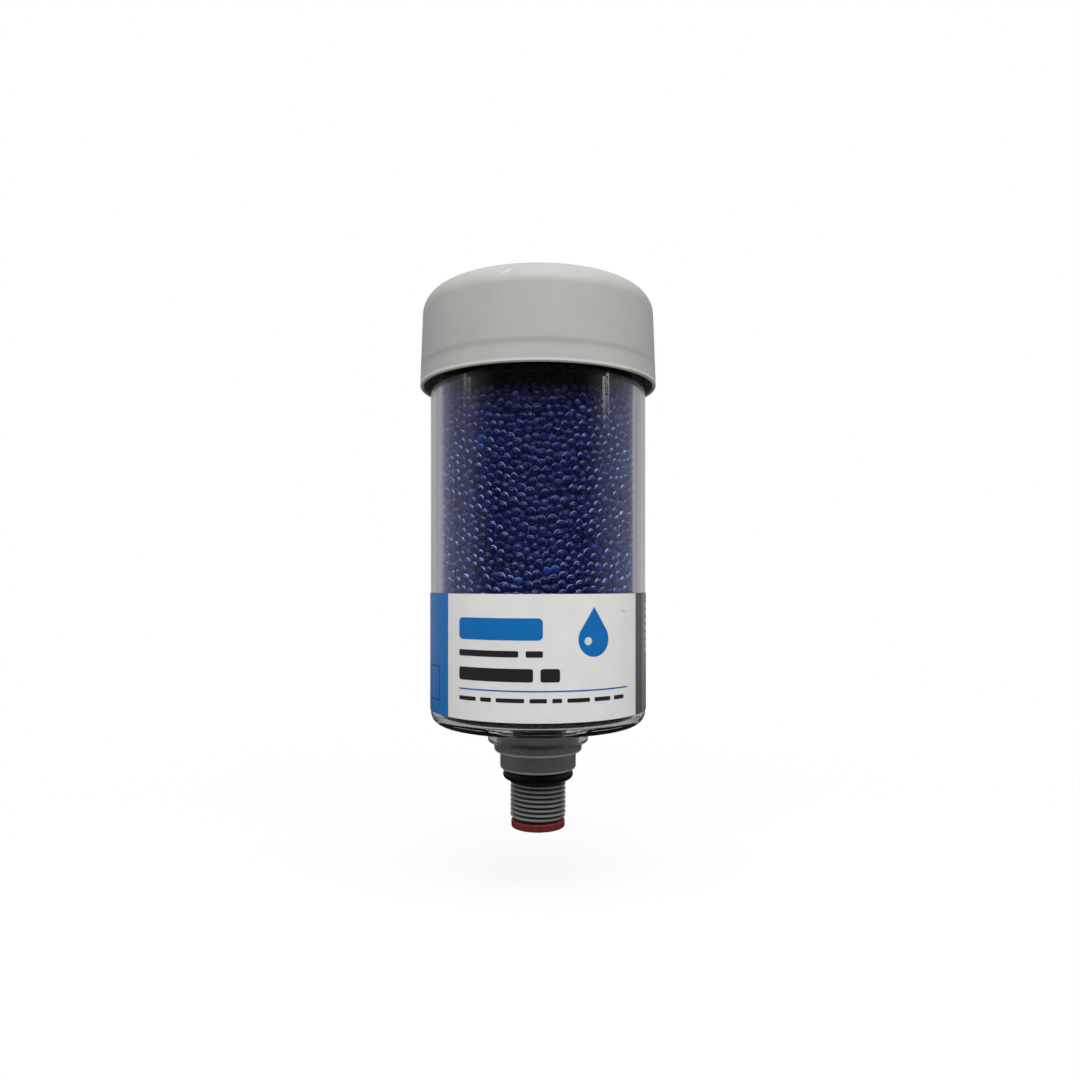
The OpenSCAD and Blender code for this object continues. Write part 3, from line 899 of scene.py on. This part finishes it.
def build_floor():
    """Pale floor that turns to plain white away from the object, and bounces little light up to it. In glass
    and gloss it is darker near the object, a painted shadow.
    """
    corners = [(-FLOOR_SIZE, -FLOOR_SIZE, 0), (FLOOR_SIZE, -FLOOR_SIZE, 0),
               (FLOOR_SIZE, FLOOR_SIZE, 0), (-FLOOR_SIZE, FLOOR_SIZE, 0)]
    mesh = bpy.data.meshes.new("floor")
    mesh.from_pydata(corners, [], [(0, 1, 2, 3)])
    floor = bpy.data.objects.new("floor", mesh)
    floor.location.z = Z_STAGE - FLOOR_DROP
    bpy.context.scene.collection.objects.link(floor)
    material = bpy.data.materials.new("floor_white")
    material.use_nodes = True
    tree = material.node_tree
    tree.nodes.clear()
    out = tree.nodes.new("ShaderNodeOutputMaterial")
    matt = tree.nodes.new("ShaderNodeBsdfDiffuse")
    seen = camera_share(tree)
    distance = axis_distance(tree)
    # Painted shadow: in glass and gloss the floor is dark near the object
    behind = multiply(tree, level(tree, distance, *FLOOR_FAR),
                      level(tree, own_part(tree, "Object", "Y"), *FLOOR_BEHIND))
    in_glass = spread(tree, behind, FLOOR_IN_GLASS_NEAR, FLOOR_IN_GLASS_FAR)
    path = tree.nodes.new("ShaderNodeLightPath")
    through = multiply(tree, path.outputs["Is Transmission Ray"], level(tree, distance, *FLOOR_THROUGH))
    in_glass = join(tree, "MAXIMUM", in_glass, spread(tree, through, 0.0, FLOOR_THROUGH_GLASS))
    bounce = spread(tree, glass_share(tree), FLOOR_BOUNCE, 0.0)
    reflected = join(tree, "MAXIMUM", bounce, multiply(tree, glass_share(tree), in_glass))
    brightness = join(tree, "MAXIMUM", spread(tree, seen, 0.0, FLOOR_SEEN), reflected)
    tree.links.new(brightness, matt.inputs["Color"])
    glow = tree.nodes.new("ShaderNodeEmission")
    glow.inputs["Color"].default_value = (1.0, 1.0, 1.0, 1.0)
    mix = tree.nodes.new("ShaderNodeMixShader")
    nearness = patch(tree, (0.0, 0.0, 0.0), (FLOOR_SHADE_R,) * 3)
    tree.links.new(multiply(tree, seen, spread(tree, nearness, 1.0, FLOOR_SHADE_WHITE)), mix.inputs["Fac"])
    tree.links.new(matt.outputs[0], mix.inputs[1])
    tree.links.new(glow.outputs[0], mix.inputs[2])
    tree.links.new(mix.outputs[0], out.inputs["Surface"])
    mesh.materials.append(material)


def light_strip(tree, direction, turn_deg, half_width, low, high):
    """Mask of an upright strip of light, turned from the front to the right, that fades in upwards."""
    sine = math.sin(math.radians(turn_deg))
    cosine = math.cos(math.radians(turn_deg))
    axes = ((sine, -cosine, 0.0), (cosine, sine, 0.0), (0.0, 0.0, 1.0))
    ahead, aside, up = [vector_math(tree, "DOT_PRODUCT", direction, axis).outputs["Value"] for axis in axes]
    across = join(tree, "ABSOLUTE", aside)
    width = level(tree, across, half_width, STRIP_CORE * half_width)
    strip = multiply(tree, width, level(tree, ahead, 0.0, 0.1))
    return multiply(tree, strip, level(tree, up, low, high))


def build_world():
    """White to the camera. Other rays meet a studio: dark in front, grey with bright strips at the sides."""
    world = bpy.data.worlds.new("studio")
    bpy.context.scene.world = world
    world.use_nodes = True
    tree = world.node_tree
    tree.nodes.clear()
    out = tree.nodes.new("ShaderNodeOutputWorld")
    room = tree.nodes.new("ShaderNodeBackground")
    white = tree.nodes.new("ShaderNodeBackground")
    white.inputs["Color"].default_value = (1.0, 1.0, 1.0, 1.0)
    direction = tree.nodes.new("ShaderNodeTexCoord").outputs["Generated"]
    parts = tree.nodes.new("ShaderNodeSeparateXYZ")
    tree.links.new(direction, parts.inputs[0])
    belt = tree.nodes.new("ShaderNodeValToRGB")
    elements = belt.color_ramp.elements
    while len(elements) < len(STUDIO_BELT):
        elements.new(0.5)
    for element, (y, grey) in zip(elements, STUDIO_BELT):
        element.position = (y + 1) / 2
        element.color = (grey, grey, grey, 1.0)
    share = tree.nodes.new("ShaderNodeMapRange")
    share.inputs["From Min"].default_value = -1.0
    tree.links.new(parts.outputs["Y"], share.inputs["Value"])
    tree.links.new(share.outputs["Result"], belt.inputs["Fac"])
    streaks = level(tree, object_noise(tree, STUDIO_LINES_SCALE, 3.0, 0.6), *NOISE_RANGE)
    lines = spread(tree, streaks, *STUDIO_LINES)
    brightness = multiply(tree, belt.outputs["Color"], lines)
    strips = [spread(tree, light_strip(tree, direction, turn_deg, half_width, low, high), 0.0, power)
              for turn_deg, half_width, low, high, power in STUDIO_STRIPS]
    strips = join(tree, "ADD", *strips)
    brightness = join(tree, "ADD", brightness, strips)
    # Mirrored in a surface, the studio's sides and front are a little blue
    sides = multiply(tree, level(tree, parts.outputs["Y"], *STUDIO_SIDES_BACK),
                     level(tree, parts.outputs["Z"], *STUDIO_SIDES_UP))
    sides = multiply(tree, sides, level(tree, strips, *STUDIO_SIDES_STRIPS))
    plain = tree.nodes.new("ShaderNodeCombineColor")
    for channel in plain.inputs:
        tree.links.new(brightness, channel)
    path = tree.nodes.new("ShaderNodeLightPath")
    mirrored = join(tree, "SUBTRACT", path.outputs["Is Glossy Ray"], path.outputs["Is Transmission Ray"])
    tint = blend(tree, multiply(tree, sides, mirrored), plain.outputs["Color"], STUDIO_SIDES, "MULTIPLY")
    tree.links.new(tint, room.inputs["Color"])
    tree.links.new(spread(tree, glass_share(tree), STUDIO_FILL, 1.0), room.inputs["Strength"])
    mix = tree.nodes.new("ShaderNodeMixShader")
    tree.links.new(camera_share(tree), mix.inputs["Fac"])
    tree.links.new(room.outputs[0], mix.inputs[1])
    tree.links.new(white.outputs[0], mix.inputs[2])
    tree.links.new(mix.outputs[0], out.inputs["Surface"])


def build_lamp():
    """The one lamp, a soft rectangle turned to the object."""
    data = bpy.data.lights.new("softbox_top", "AREA")
    data.shape = "RECTANGLE"
    data.size, data.size_y = SOFTBOX_SIZE
    data.energy = SOFTBOX_POWER
    lamp = bpy.data.objects.new("softbox_top", data)
    lamp.location = SOFTBOX_PLACE
    aim = Vector(SOFTBOX_TARGET) - Vector(SOFTBOX_PLACE)
    lamp.rotation_euler = aim.to_track_quat("-Z", "Y").to_euler()
    bpy.context.scene.collection.objects.link(lamp)


def build_camera():
    """Level camera at the photograph's place, shifted to its framing."""
    data = bpy.data.cameras.new("camera")
    data.sensor_width = SENSOR_MM
    data.lens = FOCAL_PX / PHOTO_PX * SENSOR_MM
    data.shift_x = (PHOTO_PX / 2 - AXIS_PX) / PHOTO_PX
    data.shift_y = (HORIZON_PX - PHOTO_PX / 2) / PHOTO_PX
    camera = bpy.data.objects.new("camera", data)
    camera.location = (0.0, -CAMERA_DISTANCE, CAMERA_Z)
    camera.rotation_euler = (math.pi / 2, 0.0, 0.0)
    bpy.context.scene.collection.objects.link(camera)
    bpy.context.scene.camera = camera


build_floor()
build_world()
build_lamp()
build_camera()
bpy.context.scene.view_settings.view_transform = "Standard"
